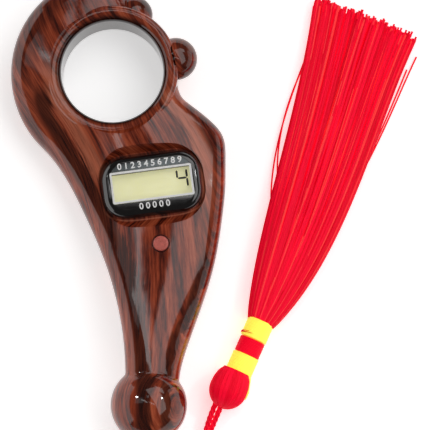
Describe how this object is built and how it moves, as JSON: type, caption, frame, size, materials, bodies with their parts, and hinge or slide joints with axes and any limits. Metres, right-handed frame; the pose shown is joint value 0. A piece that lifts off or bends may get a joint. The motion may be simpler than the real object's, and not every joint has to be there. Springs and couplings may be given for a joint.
{
  "type": "digital tasbih counter",
  "caption": "Hand-held electronic prayer counter: finger ring head, tapered handle with a ball end, small display, push buttons and a corded tassel.",
  "frame": {"origin": "centre of the counter's box, on the surface it lies on; cord and tassel not counted", "axes": "+Y along the handle from ball to ring, +Z out of the display, +X to the count button's side"},
  "size_m": [0.1024, 0.1351, 0.019],
  "materials": {
    "case": "gloss printed wood grain",
    "bezel": "gloss black",
    "window": "clear",
    "lcd": "reflective grey green",
    "carrier": "moulded",
    "elastomer": "moulded",
    "board": "solder mask",
    "epoxy": "cast",
    "ceramic": "fired",
    "steel": "zinc plated",
    "brass": "rolled",
    "wire": "extruded",
    "reset": "moulded",
    "nylon": "moulded",
    "red_thread": "spun rayon",
    "yellow_thread": "spun rayon"
  },
  "bodies": {
    "housing": {"front_shell": "case", "rear_shell": "case", "case_screws": "steel", "display_bezel": "bezel", "display_window": "window", "lcd_front_glass": "lcd", "lcd_rear_glass": "lcd", "lcd_carrier": "carrier", "zebra_strip": "elastomer", "main_board": "board", "chip_blob": "epoxy", "board_parts": "ceramic", "board_screws": "steel", "button_cell": "steel", "contact_negative": "brass", "contact_positive": "brass", "battery_door": "case", "battery_door_screw": "steel", "count_spring": "steel", "count_contact": "brass", "count_wires": "wire", "reset_switch": "nylon", "cord_pin": "steel", "tassel_cord": "red_thread", "tassel_knot": "red_thread", "tassel_band_lower": "yellow_thread", "tassel_band_middle": "red_thread", "tassel_band_upper": "yellow_thread", "tassel_skirt": "red_thread"},
    "count_button": {"count_button": "case"},
    "reset_button": {"reset_button": "reset", "reset_plunger": "nylon"}
  },
  "joints": [
    {"name": "count_button_press", "type": "slide", "parent": "housing", "child": "count_button", "axis": [-0.9744, -0.225, 0], "range_m": [0, 0.0004], "stiffness_N_per_m": 2500, "springref_m": -0.0004, "deforming": ["count_spring"]},
    {"name": "reset_button_press", "type": "slide", "parent": "housing", "child": "reset_button", "axis": [0, 0, -1], "range_m": [0, 0.0005], "stiffness_N_per_m": 2500, "springref_m": -0.0004}
  ]
}
